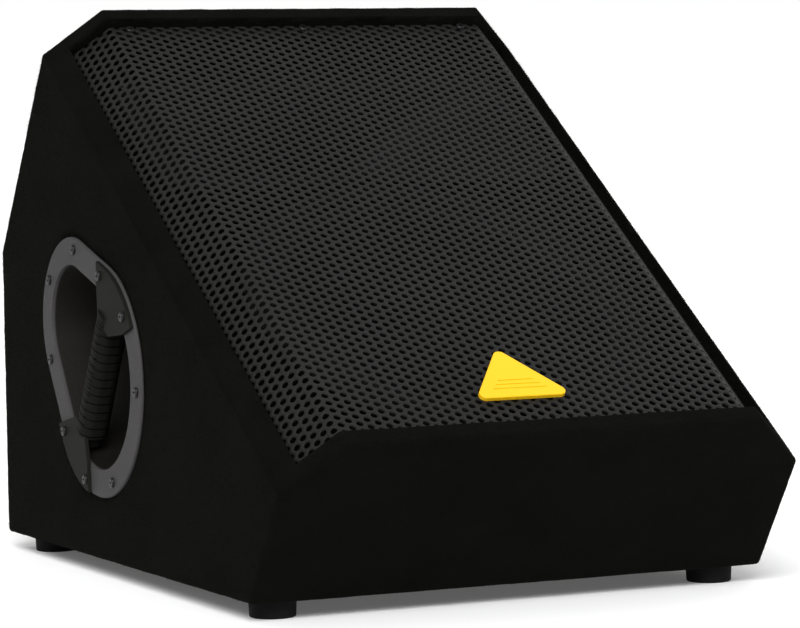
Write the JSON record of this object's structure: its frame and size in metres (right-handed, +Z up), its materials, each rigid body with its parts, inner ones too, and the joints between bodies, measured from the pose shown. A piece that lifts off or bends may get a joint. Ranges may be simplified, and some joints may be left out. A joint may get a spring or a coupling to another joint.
{
  "type": "stage monitor wedge",
  "caption": "Sloped floor loudspeaker in black carpet with a folded perforated grille over a horn and woofer, a recessed bar handle and a side input dish.",
  "frame": {"origin": "on the floor under the middle of the cabinet, at the bottom centre of its box", "axes": "+Z up, -Y is the side that the sloped face looks to, +X is to the right when standing behind the wedge's low edge and looking along +Y"},
  "size_m": [0.417, 0.5764, 0.4285],
  "materials": {
    "carpet": "rough needle-felt carpet",
    "birch_ply": "bare plywood",
    "black_paint": "matt black paint on plywood",
    "grille_steel": "satin powder coat",
    "badge_yellow": "satin lacquer",
    "handle_plastic": "moulded grain",
    "bar_plastic": "fine satin",
    "grip_rubber": "soft matte",
    "black_screw": "black oxide",
    "foot_rubber": "matte",
    "zinc_screw": "zinc plate",
    "basket_steel": "black paint",
    "gasket_rubber": "matte",
    "plated_steel": "zinc plate",
    "ferrite": "fired ferrite",
    "coil_copper": "copper winding on a brown former",
    "paper_cone": "pressed paper pulp",
    "doped_cloth": "doped cloth",
    "spider_cloth": "phenolic cloth",
    "horn_plastic": "moulded",
    "diaphragm_metal": "satin",
    "pcb_green": "solder mask",
    "capacitor_film": "smooth",
    "ceramic": "chalky",
    "terminal_plastic": "moulded",
    "plate_plastic": "moulded grain",
    "socket_plastic": "moulded",
    "nut_nickel": "nickel",
    "slider_white": "smooth",
    "cable_sheath": "smooth",
    "wadding": "polyester wadding"
  },
  "bodies": {
    "cabinet": {"side_board_left": "birch_ply", "side_board_right": "birch_ply", "bottom_board": "birch_ply", "rear_slant_board": "birch_ply", "lower_front_board": "birch_ply", "rear_board": "birch_ply", "baffle_board": "black_paint", "battens": "black_paint", "carpet_wrap": "carpet", "carpet_left": "carpet", "carpet_right": "carpet", "grille": "grille_steel", "grille_screws": "black_screw", "badge": "badge_yellow", "woofer_basket": "basket_steel", "woofer_gasket": "gasket_rubber", "woofer_screws": "black_screw", "woofer_top_plate": "plated_steel", "woofer_magnet": "ferrite", "woofer_back_plate": "plated_steel", "woofer_surround": "doped_cloth", "woofer_spider": "spider_cloth", "woofer_terminals": "terminal_plastic", "horn": "horn_plastic", "horn_screws": "black_screw", "driver_pole": "plated_steel", "driver_magnet": "ferrite", "driver_rear_plate": "plated_steel", "driver_suspension": "spider_cloth", "driver_rear_cover": "socket_plastic", "crossover_board": "pcb_green", "crossover_standoffs": "zinc_screw", "crossover_coils": "coil_copper", "crossover_capacitors": "capacitor_film", "crossover_resistor": "ceramic", "crossover_terminals": "terminal_plastic", "handle_cup": "handle_plastic", "handle_bar": "bar_plastic", "handle_grip": "grip_rubber", "handle_screws": "black_screw", "input_plate": "plate_plastic", "input_plate_screws": "black_screw", "jack_nuts": "nut_nickel", "jack_sockets": "socket_plastic", "speaker_sockets": "socket_plastic", "mode_switch": "socket_plastic", "cable_input": "cable_sheath", "cable_woofer": "cable_sheath", "cable_driver": "cable_sheath", "damping_pad": "wadding", "foot_screws": "zinc_screw", "foot_front_left": "foot_rubber", "foot_front_right": "foot_rubber", "foot_rear_left": "foot_rubber", "foot_rear_right": "foot_rubber"},
    "woofer_moving_parts": {"woofer_cone": "paper_cone", "woofer_dust_cap": "paper_cone", "voice_coil": "coil_copper"},
    "driver_dome": {"driver_diaphragm": "diaphragm_metal"},
    "mode_slider": {"mode_slider": "slider_white"}
  },
  "joints": [
    {"name": "woofer_travel", "type": "slide", "parent": "cabinet", "child": "woofer_moving_parts", "axis": [0, -0.5592, 0.829], "range_m": [-0.005, 0.005], "stiffness_N_per_m": 4000, "deforming": ["woofer_surround", "woofer_spider"]},
    {"name": "driver_travel", "type": "slide", "parent": "cabinet", "child": "driver_dome", "axis": [0, -0.5592, 0.829], "range_m": [-0.0004, 0.0004], "stiffness_N_per_m": 3000, "deforming": ["driver_suspension"]},
    {"name": "mode_slide", "type": "slide", "parent": "cabinet", "child": "mode_slider", "axis": [0, 0, 1], "range_m": [0, 0.005]}
  ]
}
